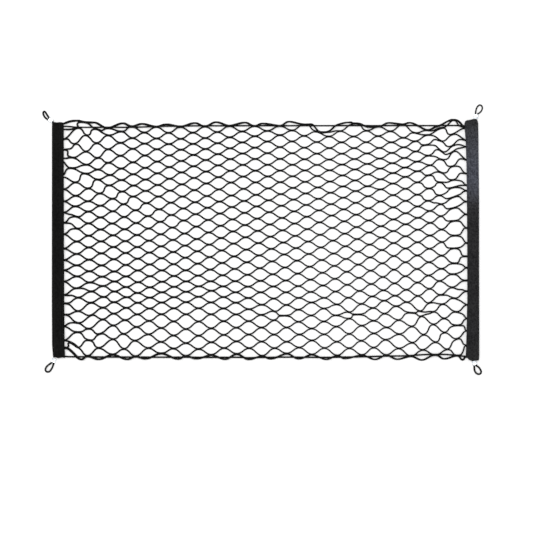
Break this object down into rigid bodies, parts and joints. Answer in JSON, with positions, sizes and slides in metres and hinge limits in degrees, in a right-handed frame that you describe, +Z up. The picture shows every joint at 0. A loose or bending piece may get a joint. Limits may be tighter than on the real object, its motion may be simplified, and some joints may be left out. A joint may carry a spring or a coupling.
{
  "type": "cargo net",
  "caption": "Elastic luggage net of knotless diamond mesh between two folded end bands, with an edge cord along each long side and a corner loop in a metal clip at each corner, lying flat",
  "frame": {"origin": "on the surface it lies on, below the middle of the net and its bands", "axes": "+X along the net from its left band to its right band, +Y across it towards its upper long edge, +Z up"},
  "size_m": [0.9288, 0.5706, 0.0081],
  "materials": {
    "net_elastic": "black braided elastic cord",
    "band_left_webbing": "black woven binding tape, matt",
    "band_right_webbing": "black woven binding tape, matt, a little greyer",
    "cord_elastic": "black braided elastic cord",
    "clip_metal": "bright bare metal"
  },
  "bodies": {
    "root": {"net": "net_elastic", "band_left": "band_left_webbing", "band_right": "band_right_webbing", "edge_cord_top": "cord_elastic", "edge_cord_bottom": "cord_elastic", "loop_top_left": "cord_elastic", "loop_top_right": "cord_elastic", "loop_bottom_left": "cord_elastic", "loop_bottom_right": "cord_elastic", "clip_top_left": "clip_metal", "clip_top_right": "clip_metal", "clip_bottom_left": "clip_metal", "clip_bottom_right": "clip_metal"}
  },
  "joints": []
}
